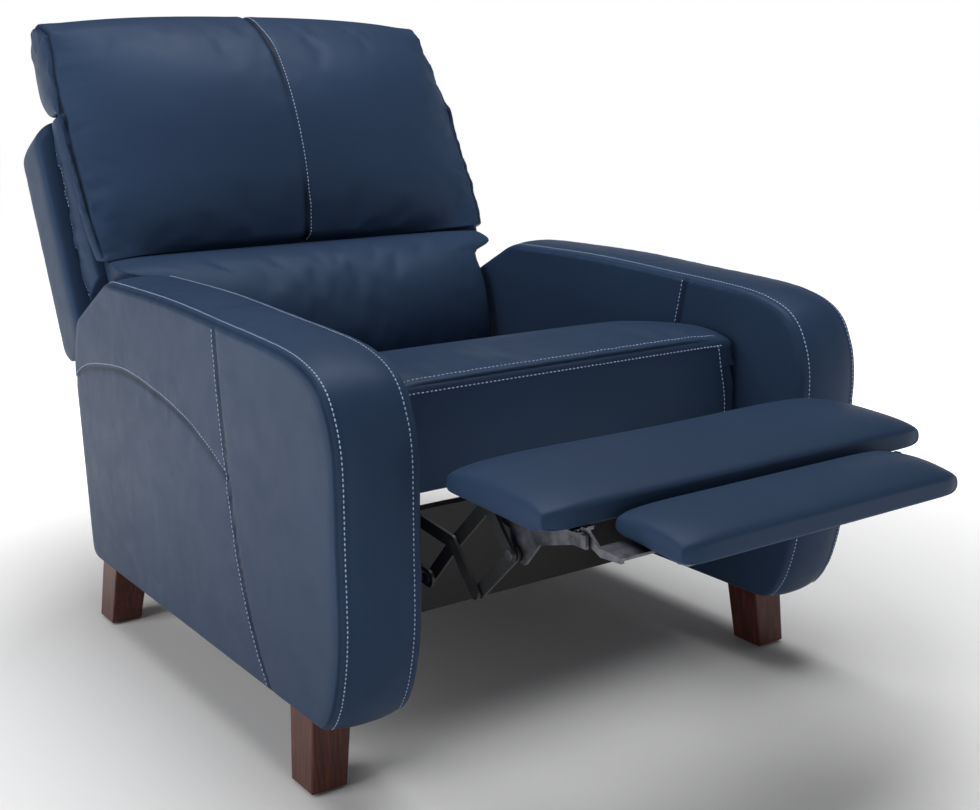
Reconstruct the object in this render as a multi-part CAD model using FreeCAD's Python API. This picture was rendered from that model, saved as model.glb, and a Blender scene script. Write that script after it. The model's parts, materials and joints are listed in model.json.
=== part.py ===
"""Recliner armchair: one STEP file per piece, millimetres, Z up, the chair faces -Y, origin on the floor."""
import math
import os

import FreeCAD
import Part

V = FreeCAD.Vector
os.makedirs("parts", exist_ok=True)

# ---- overall ----
WIDTH = 822.0                 # over the two arms
ARM_THICK = 113.0
ARM_BOTTOM = 109.0            # underside of the arms, also the top of the legs
ARM_OUT = WIDTH / 2
ARM_IN = ARM_OUT - ARM_THICK
BAND = 20.0                   # thickness of the padded band round each arm
PANEL = 31.0                  # thickness of the padded arm panels
FIT = 0.08                    # radial clearance of every turning hole
PLATE = 4.0                   # thickness of every steel link and plate

# arm side outline (y, z), clockwise from the rear end of the top
ARM_OUTLINE = [(289, 581), (65, 580), (-126, 571), (-281, 562), (-345, 550), (-381, 532), (-402, 500),
               (-413, 452), (-406, 349), (-401, 235), (-378, 154), (-347, ARM_BOTTOM),
               (483, ARM_BOTTOM), (483, 431), (450, 508)]

# ---- legs ----
LEG_X = 54.0
LEG_Y = 63.0
LEG_OUTSET = 8.0              # how far the foot stands outside the top of the leg
LEG_INSET = 16.0              # arm face to the top of the leg
FRONT_LEG_Y = -252.0          # middle of the front legs
REAR_LEG_Y = 446.0            # middle of the rear legs, at the top
GLIDE_H = 3.0
GLIDE_R = 12.0

# ---- base rails and plates ----
CROSS_RAIL_Y = -71.0
CROSS_RAIL = (22.0, 114.0, 266.0)        # thickness, bottom, top
REAR_RAIL_Y = 461.0
REAR_RAIL = (22.0, 126.0, 206.0)
SEAT_PLATE_X = 262.0          # inner face of the seat's steel side plates
GLIDE_LINK_X = 269.0
BASE_PLATE_X = GLIDE_LINK_X + PLATE + 2.5
RAIL_X = BASE_PLATE_X + PLATE            # side rails lie between the base plate and the arm

# ---- glide links: the seat hangs on four equal links ----
GLIDE_FRONT_Y = 5.0
GLIDE_REAR_Y = 255.0
GLIDE_TOP_Z = 270.0
GLIDE_LENGTH = 100.0
GLIDE_PIN_R = 5.0

# ---- seat ----
SEAT_HALF = 295.0
SEAT_RAIL_TOP = 440.0         # top of the seat rails at the front
SEAT_RAIL_H = 44.0
SEAT_FALL = 0.18              # how fast the seat falls towards the back
SEAT_FRONT_Y = -257.0         # front face of the seat's front rail
SEAT_REAR_Y = 280.0           # rear face of the seat's rear rail
RAIL_T = 22.0
SPRING_R = 1.9
CLIP_X = 12.0                 # half sizes of a spring clip
CLIP_Y = 9.0
CUSHION_LIFT = 7.0            # seat rails to the underside of the cushion, over the springs and clips
CUSHION_FRONT_Y = -285.0
CUSHION_REAR_Y = 312.0

# ---- back: s runs up along the back, t forward from it, both from the datum ----
BACK_DATUM = (303.0, 380.0)
BACK_PIVOT = (303.0, 325.0)
BACK_LEAN = 22.0
BACK_HALF = 390.0             # the outside back
BACK_S = (144.0, 522.0)       # its lower and upper ends
BACK_T = (-265.0, -158.0)     # its rear and front faces
BACK_WALL = 12.0
BORDER_HALF = 356.0           # the border between the outside back and the pillow
BORDER_S = (225.0, 512.0)
PILLOW_HALF = 359.0
LUMBAR_HALF = 290.0
WING_HALF = 345.0             # the lumbar cushion above the arms
POST_X = (232.0, 256.0)
BACK_BRACKET_X = 256.0
BACK_FACE = -100.0            # t of the front of the back frame, where the cushions rest

# ---- footrest linkage (y, z), open ----
PIVOT_A = (-235.0, 380.0)     # long arm on the seat plate
PIVOT_C = (-399.0, 331.0)     # crossing of the long arm and the cross arm
PIVOT_A2 = (-445.0, 281.0)    # front end of the long arm
PIVOT_B2 = (-474.0, 397.0)    # front end of the cross arm
PIVOT_F = (-520.0, 347.0)     # footrest bracket
PIVOT_B0 = (-338.0, 270.0)    # rear end of the cross arm
PIVOT_G = (-182.7, 283.2)     # control arm on the seat plate
PIVOT_H = (-632.0, 395.0)     # small front board on the footrest bracket
CONTROL_LENGTH = 152.0
LAYER_A = 256.0               # inner face of the long arms, the front arms and the control arms
LAYER_B = 250.0               # inner face of the cross arms and the rising arms
LAYER_BRACKET = 244.0
LAYER_FLIPPER = 238.0
LINK_W = 16.5
PAD_HALF = 290.0
RIM = 12.0                    # thickness of the pads' rims, which hide the edges of the boards
RIM_GAP = 1.5                 # how much higher the rims end than the boards
HINGE_TOP = 404.0             # underside of the front rim, over the hinge of the small board
BOARD_HALF = 242.0
BOARD_Y = (-617.0, -447.0)
BOARD_T = 11.0
BOARD_RISE = 0.033
FLAP_HALF = 196.0
FLAP_PAD_HALF = 210.0
FLAP_Y = (-743.0, -660.0)
FLAP_T = 9.8
FLAP_RISE = 0.058
PIN_R = 4.0
HEAD_R = 7.0
TUBE_R = 9.0
TUBE_END_R = 5.0
TUBE_AT = (-212.0, 372.0)     # tube that joins the two long arms


def save(node, *shapes):
    solids = []
    for shape in shapes:
        solids += shape.Solids
    result = solids[0] if len(solids) == 1 else Part.makeCompound(solids)
    result.exportStep("parts/" + node + ".step")


def box(x0, x1, y0, y1, z0, z1):
    return Part.makeBox(x1 - x0, y1 - y0, z1 - z0, V(x0, y0, z0))


def prism(points, x0, x1):
    """Outline given as (y, z), pushed from x0 to x1."""
    wire = Part.makePolygon([V(x0, y, z) for y, z in points] + [V(x0, points[0][0], points[0][1])])
    return Part.Face(wire).extrude(V(x1 - x0, 0, 0))


def rod(y, z, radius, x0, x1):
    return Part.makeCylinder(radius, x1 - x0, V(x0, y, z), V(1, 0, 0))


def mirror(shape):
    return shape.mirror(V(0, 0, 0), V(1, 0, 0))


def inset(points, distance):
    """Outline moved inwards by the distance."""
    area = sum(p[0] * q[1] - q[0] * p[1] for p, q in zip(points, points[1:] + points[:1]))
    turn = 1.0 if area > 0 else -1.0
    lines = []
    for p, q in zip(points, points[1:] + points[:1]):
        length = math.hypot(q[0] - p[0], q[1] - p[1])
        dy = (q[0] - p[0]) / length
        dz = (q[1] - p[1]) / length
        lines.append((p[0] - dz * distance * turn, p[1] + dy * distance * turn, dy, dz))
    result = []
    for a, b in zip(lines[-1:] + lines[:-1], lines):
        cross = a[2] * b[3] - a[3] * b[2]
        if abs(cross) < 1e-6:
            result.append((b[0], b[1]))
            continue
        k = ((b[0] - a[0]) * b[3] - (b[1] - a[1]) * b[2]) / cross
        result.append((a[0] + a[2] * k, a[1] + a[3] * k))
    return result


def strip(points, width, x0, x1):
    """Flat steel strip with round ends that follows a line of points."""
    result = None
    for (y0, z0), (y1, z1) in zip(points, points[1:]):
        length = math.hypot(y1 - y0, z1 - z0)
        ny = -(z1 - z0) / length * width / 2
        nz = (y1 - y0) / length * width / 2
        piece = prism([(y0 + ny, z0 + nz), (y1 + ny, z1 + nz), (y1 - ny, z1 - nz), (y0 - ny, z0 - nz)], x0, x1)
        piece = piece.fuse(rod(y0, z0, width / 2, x0, x1)).fuse(rod(y1, z1, width / 2, x0, x1))
        result = piece if result is None else result.fuse(piece)
    return result.removeSplitter()


def drill(shape, point, radius):
    return shape.cut(rod(point[0], point[1], radius, -500, 500))


def back(s, t):
    lean = math.radians(BACK_LEAN)
    y = BACK_DATUM[0] + s * math.sin(lean) - t * math.cos(lean)
    z = BACK_DATUM[1] + s * math.cos(lean) + t * math.sin(lean)
    return (y, z)


def back_prism(points, x0, x1):
    return prism([back(s, t) for s, t in points], x0, x1)


def back_box(x0, x1, s0, s1, t0, t1):
    return back_prism([(s0, t0), (s1, t0), (s1, t1), (s0, t1)], x0, x1)


def both(node, shape):
    """Saves a piece of the +X side and its mirror image."""
    save(node + "_left", shape)
    save(node + "_right", mirror(shape))


def pair(*shapes):
    return list(shapes) + [mirror(shape) for shape in shapes]


def zigzag(start, end, swing, turns, radius):
    """Sinuous spring wire from start to end; swing is the sideways vector of each bow."""
    points = []
    for i in range(turns + 1):
        side = 0 if i in (0, turns) else (1 if i % 2 else -1)
        points.append(start + (end - start) * (i / turns) + swing * side)
    result = None
    for p, q in zip(points, points[1:]):
        piece = Part.makeCylinder(radius, (q - p).Length, p, q - p)
        result = piece if result is None else result.fuse(piece)
        if q is not points[-1]:
            result = result.fuse(Part.makeSphere(radius, q))
    return result


# ---- arms ----
core = inset(ARM_OUTLINE, BAND)
core_bottom = ARM_BOTTOM
core = [(y, core_bottom if abs(z - ARM_BOTTOM - BAND) < 0.01 else z) for y, z in core]
band = prism(ARM_OUTLINE, ARM_IN, ARM_OUT).cut(prism(core, ARM_IN - 1, ARM_OUT + 1))
both("arm_band", band)
both("arm_outer_panel", prism(core, ARM_OUT - PANEL, ARM_OUT - 2))
both("arm_inner_panel", prism(core, ARM_IN + 2, ARM_IN + PANEL))

frame_x0 = ARM_IN + PANEL
frame_x1 = ARM_OUT - PANEL
hollow = inset(core, 45.0)
frame = prism(core, frame_x0, frame_x1).cut(prism(hollow, frame_x0 - 1, frame_x1 + 1))
bolt_x = ARM_OUT - LEG_INSET - LEG_X / 2
for leg_y in (FRONT_LEG_Y, REAR_LEG_Y):
    frame = frame.cut(Part.makeCylinder(4, 32, V(bolt_x, leg_y, ARM_BOTTOM)))
both("arm_frame", frame)

# ---- legs, their bolts and the plastic glides ----
bolts = []
glides = []
for name, leg_y, kick in (("front", FRONT_LEG_Y, -6.0), ("rear", REAR_LEG_Y, 20.0)):
    x1 = ARM_OUT - LEG_INSET
    x0 = x1 - LEG_X
    low = Part.makePolygon([V(x + LEG_OUTSET, y + kick, GLIDE_H) for x, y in (
        (x0 + 5, leg_y - LEG_Y / 2 + 5), (x1, leg_y - LEG_Y / 2 + 5), (x1, leg_y + LEG_Y / 2),
        (x0 + 5, leg_y + LEG_Y / 2), (x0 + 5, leg_y - LEG_Y / 2 + 5))])
    high = Part.makePolygon([V(x, y, ARM_BOTTOM) for x, y in (
        (x0, leg_y - LEG_Y / 2), (x1, leg_y - LEG_Y / 2), (x1, leg_y + LEG_Y / 2),
        (x0, leg_y + LEG_Y / 2), (x0, leg_y - LEG_Y / 2))])
    leg = Part.makeLoft([low, high], True, True)
    leg = leg.cut(Part.makeCylinder(4, 41, V(bolt_x, leg_y, ARM_BOTTOM - 40)))
    both("leg_" + name, leg)
    bolts.append(Part.makeCylinder(4, 70, V(bolt_x, leg_y, ARM_BOTTOM - 39)))
    glides.append(Part.makeCylinder(GLIDE_R, GLIDE_H, V((x0 + 5 + x1) / 2 + LEG_OUTSET, leg_y + kick + 2, 0)))
save("leg_bolts", *pair(*bolts))
save("floor_glides", *pair(*glides))

# ---- base rails ----
thick, z0, z1 = CROSS_RAIL
save("front_cross_rail", box(-RAIL_X, RAIL_X, CROSS_RAIL_Y - thick / 2, CROSS_RAIL_Y + thick / 2, z0, z1))
thick, z0, z1 = REAR_RAIL
save("rear_cross_rail", box(-RAIL_X, RAIL_X, REAR_RAIL_Y - thick / 2, REAR_RAIL_Y + thick / 2, z0, z1))
side = box(RAIL_X, ARM_IN, CROSS_RAIL_Y - 11, REAR_RAIL_Y + 11, 120, 180)
plate = prism([(-45, 128), (305, 128), (305, 176), (275, 288), (-15, 288), (-45, 176)],
              BASE_PLATE_X, BASE_PLATE_X + PLATE)
plate_screws = []
for y in (-20.0, 90.0, 200.0, 285.0):
    side = drill(side, (y, 150.0), 2.5)
    plate = drill(plate, (y, 150.0), 2.5)
    plate_screws.append(rod(y, 150, 2.5, BASE_PLATE_X, ARM_IN).fuse(rod(y, 150, 5, BASE_PLATE_X - 2, BASE_PLATE_X)))
glide_pins = []
seat_glide_pins = []
glide_low_z = GLIDE_TOP_Z - GLIDE_LENGTH
for name, y in (("front", GLIDE_FRONT_Y), ("rear", GLIDE_REAR_Y)):
    plate = drill(plate, (y, GLIDE_TOP_Z), GLIDE_PIN_R)
    glide_pins.append(rod(y, GLIDE_TOP_Z, GLIDE_PIN_R, GLIDE_LINK_X - 1, BASE_PLATE_X + PLATE)
                      .fuse(rod(y, GLIDE_TOP_Z, 8, GLIDE_LINK_X - 2.2, GLIDE_LINK_X - 0.3)))
    seat_glide_pins.append(rod(y, glide_low_z, GLIDE_PIN_R, SEAT_PLATE_X, GLIDE_LINK_X + PLATE + 1)
                           .fuse(rod(y, glide_low_z, 8, GLIDE_LINK_X + PLATE + 0.3, GLIDE_LINK_X + PLATE + 2.1)))
    link = strip([(y, GLIDE_TOP_Z), (y, glide_low_z)], 24, GLIDE_LINK_X, GLIDE_LINK_X + PLATE)
    link = drill(drill(link, (y, GLIDE_TOP_Z), GLIDE_PIN_R + FIT), (y, glide_low_z), GLIDE_PIN_R + FIT)
    save(name + "_glide_links", *pair(link))
save("base_side_rails", *pair(side))
save("base_side_plates", *pair(plate))
save("base_plate_screws", *pair(*plate_screws))
save("glide_pins", *pair(*glide_pins))

# ---- seat ----
def rail_top(y):
    """Height of the top of the seat rails, which fall towards the back."""
    return SEAT_RAIL_TOP - (y - SEAT_FRONT_Y) * SEAT_FALL


def on_rails(y0, y1, low, high, x0, x1):
    """Piece that follows the slope of the rails, low and high measured from their top."""
    return prism([(y0, rail_top(y0) + low), (y1, rail_top(y1) + low), (y1, rail_top(y1) + high),
                  (y0, rail_top(y0) + high)], x0, x1)


seat_plate = prism([(-249, 366), (-225, 366), (-197, 272), (-168, 270), (-30, 276), (-13, 154), (272, 154),
                    (318, 315), (318, 340), (288, 340), (262, rail_top(262) - 4), (-249, rail_top(-249) - 4)],
                   SEAT_PLATE_X, SEAT_PLATE_X + PLATE)
side = on_rails(SEAT_FRONT_Y, SEAT_REAR_Y, -SEAT_RAIL_H, 0, SEAT_PLATE_X + PLATE, 288)
seat_bolts = []
for y in (-180.0, -60.0, 110.0, 235.0):
    z = rail_top(y) - SEAT_RAIL_H / 2
    seat_plate = drill(seat_plate, (y, z), 3.0)
    side = drill(side, (y, z), 3.0)
    seat_bolts.append(rod(y, z, 3, SEAT_PLATE_X, 286).fuse(rod(y, z, 6, SEAT_PLATE_X - 2.5, SEAT_PLATE_X)))
for point, radius in ((PIVOT_A, PIN_R), (PIVOT_G, PIN_R), (BACK_PIVOT, GLIDE_PIN_R),
                      ((GLIDE_FRONT_Y, glide_low_z), GLIDE_PIN_R), ((GLIDE_REAR_Y, glide_low_z), GLIDE_PIN_R)):
    seat_plate = drill(seat_plate, point, radius)
save("seat_plates", *pair(seat_plate))
save("seat_side_rails", *pair(side))
save("seat_plate_bolts", *pair(*seat_bolts))
inner = SEAT_PLATE_X
save("seat_front_rail", on_rails(SEAT_FRONT_Y, SEAT_FRONT_Y + RAIL_T, 4 - SEAT_RAIL_H, 0, -inner, inner))
save("seat_rear_rail", on_rails(SEAT_REAR_Y - RAIL_T, SEAT_REAR_Y, -SEAT_RAIL_H, 0, -inner, inner))
pins = []
for point, reach in ((PIVOT_A, LAYER_A), (PIVOT_G, LAYER_A)):
    pins.append(rod(point[0], point[1], PIN_R, reach - 1, SEAT_PLATE_X + PLATE)
                .fuse(rod(point[0], point[1], HEAD_R, reach - 1.8, reach - 0.3)))
back_pin = rod(BACK_PIVOT[0], BACK_PIVOT[1], GLIDE_PIN_R, BACK_BRACKET_X - 1, SEAT_PLATE_X + PLATE)
pins.append(back_pin.fuse(rod(BACK_PIVOT[0], BACK_PIVOT[1], 9, BACK_BRACKET_X - 2.5, BACK_BRACKET_X - 0.3)))
save("seat_pins", *pair(*seat_glide_pins, *pins))
springs = []
clips = []
for i in range(5):
    x = (i - 2) * 100.0
    y0 = SEAT_FRONT_Y + RAIL_T / 2
    y1 = SEAT_REAR_Y - RAIL_T / 2
    springs.append(zigzag(V(x, y0, rail_top(y0) + SPRING_R * 1.05), V(x, y1, rail_top(y1) + SPRING_R * 1.05),
                          V(24, 0, 0), 12, SPRING_R))
    for y in (y0, y1):
        clip = on_rails(y - CLIP_Y, y + CLIP_Y, 0, CUSHION_LIFT - 0.5, x - CLIP_X, x + CLIP_X)
        hollow_clip = on_rails(y - 20, y + 20, -1, 2 * SPRING_R + 0.9, x - CLIP_X + 2, x + CLIP_X - 2)
        clips.append(clip.cut(hollow_clip))
save("seat_springs", *springs)
save("spring_clips", *clips)
cushion_front_z = rail_top(CUSHION_FRONT_Y + 4) + CUSHION_LIFT
panel_top = rail_top(SEAT_FRONT_Y) + CUSHION_LIFT
save("seat_cushion", prism([(CUSHION_FRONT_Y + 4, cushion_front_z), (CUSHION_FRONT_Y, 480), (CUSHION_FRONT_Y + 8, 494),
                            (CUSHION_FRONT_Y + 40, 504), (-200, 507), (-120, 497), (0, 473), (150, 443), (290, 414),
                            (CUSHION_REAR_Y, 402), (CUSHION_REAR_Y, rail_top(CUSHION_REAR_Y) + CUSHION_LIFT)],
                           -SEAT_HALF, SEAT_HALF))
save("seat_front_panel", prism([(SEAT_FRONT_Y, 356), (SEAT_FRONT_Y, panel_top), (CUSHION_FRONT_Y + 4, cushion_front_z),
                                (CUSHION_FRONT_Y - 2, 400), (CUSHION_FRONT_Y + 4, 356)], -SEAT_HALF, SEAT_HALF))

# ---- footrest linkage ----
x_a = (LAYER_A, LAYER_A + PLATE)
x_b = (LAYER_B, LAYER_B + PLATE)
x_k = (LAYER_BRACKET, LAYER_BRACKET + PLATE)
x_f = (LAYER_FLIPPER, LAYER_FLIPPER + PLATE)
long_arm = strip([TUBE_AT, PIVOT_A, (-242.0, 348.0), PIVOT_C, PIVOT_A2], LINK_W, *x_a)
long_arm = drill(long_arm, PIVOT_A, PIN_R + FIT)
long_arm = drill(drill(long_arm, PIVOT_C, PIN_R), PIVOT_A2, PIN_R)
long_arm = drill(long_arm, TUBE_AT, TUBE_END_R)
save("long_arms", *pair(long_arm))
save("footrest_tube", rod(TUBE_AT[0], TUBE_AT[1], TUBE_R, -LAYER_A, LAYER_A)
     .fuse(rod(TUBE_AT[0], TUBE_AT[1], TUBE_END_R, -LAYER_A - PLATE, LAYER_A + PLATE)))
cross_arm = strip([PIVOT_B0, PIVOT_C, PIVOT_B2], LINK_W, *x_b)
cross_arm = drill(drill(cross_arm, PIVOT_C, PIN_R + FIT), PIVOT_B2, PIN_R)
save("cross_arms", *pair(drill(cross_arm, PIVOT_B0, PIN_R)))
rising_arm = strip([PIVOT_A2, PIVOT_F], LINK_W, *x_b)
save("rising_arms", *pair(drill(drill(rising_arm, PIVOT_A2, PIN_R + FIT), PIVOT_F, PIN_R)))
front_arm = strip([PIVOT_B2, PIVOT_F], LINK_W, *x_a)
save("front_arms", *pair(drill(drill(front_arm, PIVOT_B2, PIN_R + FIT), PIVOT_F, PIN_R + FIT)))


def rivet(point, x_fixed, x_turning):
    """Pin pressed into one plate, with a head over the plate that turns on it."""
    low = min(x_fixed, x_turning)
    high = max(x_fixed, x_turning) + PLATE
    if x_turning > x_fixed:
        return rod(point[0], point[1], PIN_R, low, high + 1).fuse(
            rod(point[0], point[1], HEAD_R, high + 0.3, high + 1.7))
    return rod(point[0], point[1], PIN_R, low - 1, high).fuse(
        rod(point[0], point[1], HEAD_R, low - 1.7, low - 0.3))


save("long_arm_rivets", *pair(rivet(PIVOT_C, LAYER_A, LAYER_B), rivet(PIVOT_A2, LAYER_A, LAYER_B)))
save("cross_arm_rivets", *pair(rivet(PIVOT_B2, LAYER_B, LAYER_A), rivet(PIVOT_B0, LAYER_B, LAYER_A)))
top_rivet = rod(PIVOT_F[0], PIVOT_F[1], PIN_R, LAYER_BRACKET - 1, LAYER_A + PLATE + 1)
top_rivet = top_rivet.fuse(rod(PIVOT_F[0], PIVOT_F[1], HEAD_R, LAYER_BRACKET - 1.7, LAYER_BRACKET - 0.3))
top_rivet = top_rivet.fuse(rod(PIVOT_F[0], PIVOT_F[1], HEAD_R, LAYER_A + PLATE + 0.3, LAYER_A + PLATE + 1.7))
save("rising_arm_rivets", *pair(top_rivet))

control_angle = math.atan2(PIVOT_B0[1] - PIVOT_G[1], PIVOT_B0[0] - PIVOT_G[0])


def along(distance):
    return (PIVOT_G[0] + distance * math.cos(control_angle), PIVOT_G[1] + distance * math.sin(control_angle))


control = strip([PIVOT_G, along(CONTROL_LENGTH + 7)], 22, *x_a)
control = drill(control, PIVOT_G, PIN_R + FIT)
slot = strip([along(CONTROL_LENGTH - 4.5), along(CONTROL_LENGTH + 5.5)], 2 * (PIN_R + 2.1), -400, 400)
save("control_arms", *pair(control.cut(slot)))

# ---- footrest: steel brackets, board, pad ----
def board_under(y):
    """Height of the underside of the main footrest board, which rises a little towards the seat."""
    return 397 + (y + 622) * BOARD_RISE


def flap_top(y):
    """Height of the top of the small front board, which falls away a little more."""
    return 398 + (y + 652) * FLAP_RISE


bracket = prism([(-508, 336), (-532, 336), (-560, 366), (-622, 383), (-643, 383), (-643, 404), (-622, 404),
                 (-532, 396), (-445, 398), (-445, 384), (-505, 372)], *x_k)
bracket = drill(drill(bracket, PIVOT_F, PIN_R + FIT), PIVOT_H, PIN_R)
bracket = bracket.cut(prism([(-660, 397), (-622, 398), (-622, 396.9), (-450, 402.9), (-440, 420), (-660, 420)],
                            LAYER_BRACKET - 50, LAYER_BRACKET + 50))
flange = prism([(-618, board_under(-618) - PLATE), (-618, board_under(-618)), (-450, board_under(-450)),
                (-450, board_under(-450) - PLATE)], LAYER_BRACKET - 26, LAYER_BRACKET + PLATE)
bracket = bracket.fuse(flange)
board = prism([(y, board_under(y) + up) for y, up in (
    (BOARD_Y[0], 0), (BOARD_Y[0], BOARD_T), (BOARD_Y[1], BOARD_T), (BOARD_Y[1], 0))],
              -BOARD_HALF, BOARD_HALF)
bracket_screws = []
for y in (-590.0, -480.0):
    z = board_under(y)
    hole = Part.makeCylinder(2.5, PLATE + 10, V(LAYER_BRACKET - 14, y, z - PLATE - 1))
    bracket = bracket.cut(hole)
    board = board.cut(hole).cut(mirror(hole))
    bracket_screws.append(Part.makeCylinder(2.5, PLATE + 9, V(LAYER_BRACKET - 14, y, z - PLATE - 1))
                          .fuse(Part.makeCylinder(5, 2.5, V(LAYER_BRACKET - 14, y, z - PLATE - 2.8))))
save("footrest_brackets", *pair(bracket))
save("footrest_board", board)
save("footrest_screws", *pair(*bracket_screws))
pad = prism([(-630, HINGE_TOP), (-630, 413), (-627, 422), (-600, 437), (-530, 447), (-470, 445), (-438, 434),
             (-434, 421), (-435, board_under(-435) + RIM_GAP), (BOARD_Y[0], board_under(BOARD_Y[0]) + RIM_GAP),
             (BOARD_Y[0], HINGE_TOP)], -PAD_HALF, PAD_HALF)
pocket = prism([(y, board_under(y) + up) for y, up in (
    (BOARD_Y[0] - FIT, -20), (BOARD_Y[1] + FIT, -20), (BOARD_Y[1] + FIT, BOARD_T), (BOARD_Y[0] - FIT, BOARD_T))],
               RIM - PAD_HALF, PAD_HALF - RIM)
save("footrest_pad", pad.cut(pocket))
save("front_board_pins", *pair(rivet(PIVOT_H, LAYER_BRACKET, LAYER_FLIPPER)))

# ---- small front board of the footrest ----
arm = prism([(-629, 386.8), (-624, 391.5), (-624, 398.5), (-628.5, 403), (-635.5, 403), (-640, 400), (-655, 388),
             (-694, 385), (-694, 380), (-660, 378), (-640, 386)], *x_f)
arm = drill(arm, PIVOT_H, PIN_R + FIT)
for x0, x1, y0 in ((FLAP_HALF - 14, FLAP_HALF, FLAP_Y[0] + 2), (FLAP_HALF, LAYER_FLIPPER + PLATE, -694)):
    arm = arm.fuse(prism([(y, flap_top(y) - FLAP_T - down) for y, down in (
        (FLAP_Y[1] + 5, 3), (y0, 3), (y0, 0), (FLAP_Y[1] + 5, 0))], x0, x1))
front_board = prism([(y, flap_top(y) - down) for y, down in (
    (FLAP_Y[1], FLAP_T), (FLAP_Y[1], 0), (FLAP_Y[0], 0), (FLAP_Y[0], FLAP_T))], -FLAP_HALF, FLAP_HALF)
front_screws = []
for y in (-725.0, -670.0):
    z = flap_top(y) - FLAP_T
    hole = Part.makeCylinder(2.5, 12, V(FLAP_HALF - 7, y, z - 5))
    arm = arm.cut(hole)
    front_board = front_board.cut(hole).cut(mirror(hole))
    front_screws.append(Part.makeCylinder(2.5, 11, V(FLAP_HALF - 7, y, z - 5))
                        .fuse(Part.makeCylinder(5, 2.5, V(FLAP_HALF - 7, y, z - 5.8))))
save("front_board_arms", *pair(arm))
save("front_board", front_board)
save("front_board_screws", *pair(*front_screws))
pad = prism([(-648, flap_top(-648) - FLAP_T + 1), (-637, 405), (-637, 413), (-655, 423), (-700, 425), (-740, 416),
             (-755, 401), (-755, 394), (-752, flap_top(-752) - FLAP_T + 1)], -FLAP_PAD_HALF, FLAP_PAD_HALF)
pocket = prism([(y, flap_top(y) - down) for y, down in (
    (FLAP_Y[0] - FIT, 30), (FLAP_Y[1] + FIT, 30), (FLAP_Y[1] + FIT, 0), (FLAP_Y[0] - FIT, 0))],
               -FLAP_HALF - FIT, FLAP_HALF + FIT)
save("front_pad", pad.cut(pocket))

# ---- back ----
x0, x1 = POST_X
post = back_box(x0, x1, 62, 495, -148, BACK_FACE)
bracket_steel = back_prism([(-66, -8), (-66, -34), (-50, -100), (-20, -150), (200, -150), (200, -104), (10, -104),
                            (10, -64), (-44, -12)], BACK_BRACKET_X, BACK_BRACKET_X + PLATE)
bracket_steel = drill(bracket_steel, BACK_PIVOT, GLIDE_PIN_R + FIT)
back_bolts = []
for s in (90.0, 135.0, 180.0):
    point = back(s, -126)
    bracket_steel = drill(bracket_steel, point, 3)
    post = drill(post, point, 3)
    back_bolts.append(rod(point[0], point[1], 3, x0, BACK_BRACKET_X + PLATE)
                      .fuse(rod(point[0], point[1], 6, BACK_BRACKET_X + PLATE, BACK_BRACKET_X + PLATE + 1.5)))
save("back_brackets", *pair(bracket_steel))
save("back_posts", *pair(post))
save("back_bolts", *pair(*back_bolts))
save("back_top_rail", back_box(-330, 330, 495, 499.7, -190, BACK_FACE).fuse(back_box(-x0, x0, 455, 495, -148, -126)))
save("back_middle_rail", back_box(-x0, x0, 262, 300, -148, -126))
save("back_lower_rail", back_box(-x0, x0, 70, 115, -148, -126))
back_springs = []
for i in range(4):
    s = 150.0 + i * 90.0
    y, z = back(s, BACK_FACE - SPRING_R)
    up = V(0, math.sin(math.radians(BACK_LEAN)), math.cos(math.radians(BACK_LEAN)))
    back_springs.append(zigzag(V(-x0, y, z), V(x0, y, z), up * 20, 10, SPRING_R))
save("back_springs", *back_springs)
s0, s1 = BACK_S
t0, t1 = BACK_T
b0, b1 = BORDER_S
border_in = BORDER_HALF - BACK_WALL
back_in = BACK_HALF - BACK_WALL
cover = back_prism([(s0, t0 + BACK_WALL), (s0, t1), (s1, t1), (s1, t0 + BACK_WALL), (s1 - BACK_WALL, t0),
                    (s0 + BACK_WALL, t0)], -BACK_HALF, BACK_HALF)
cover = cover.fuse(back_prism([(b0, t1), (b0 + 25, BACK_FACE), (b1 - BACK_WALL, BACK_FACE), (b1, BACK_FACE - BACK_WALL),
                               (b1, t1)], -BORDER_HALF, BORDER_HALF))
cover = cover.cut(back_box(-back_in, back_in, s0 + BACK_WALL, s1 - BACK_WALL, t0 + BACK_WALL, t1 - BACK_WALL))
cover = cover.cut(back_box(-border_in, border_in, b0, b1 - BACK_WALL, t1 - BACK_WALL - 1, -90))
cover = cover.cut(back_box(-262, 262, s0 - 10, b1 - 200, t1 + 1, -90))
save("outside_back_cover", cover)
lumbar = back_prism([(15, BACK_FACE), (15, -30), (38, -12), (70, 0), (110, 10), (150, 12), (190, 2), (225, -22),
                     (252, -58), (262, -84), (262, BACK_FACE)], -LUMBAR_HALF, LUMBAR_HALF)
wing = back_prism([(205, BACK_FACE), (205, -14), (225, -22), (252, -58), (262, -84), (262, BACK_FACE)],
                  LUMBAR_HALF, WING_HALF)
save("lumbar_cushion", lumbar, *pair(wing))
save("back_pillow", back_prism([(262.5, BACK_FACE), (264, -84), (285, -56), (330, -38), (390, -30), (470, -22),
                                (552, -24), (613, -46), (662, -80), (682, -118), (684, -160), (674, -204),
                                (650, -221), (600, -219), (560, -206), (540, -190), (526, -172), (522.5, -157.5), (512.5, -150),
                                (512.5, BACK_FACE)], -PILLOW_HALF, PILLOW_HALF))
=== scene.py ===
"""Leather recliner armchair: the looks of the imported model, in metres, +Z up, front along -Y."""
import json
import math

import bmesh
import bpy
from mathutils import Matrix, Vector, noise
from mathutils.bvhtree import BVHTree
from mathutils.kdtree import KDTree


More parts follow.
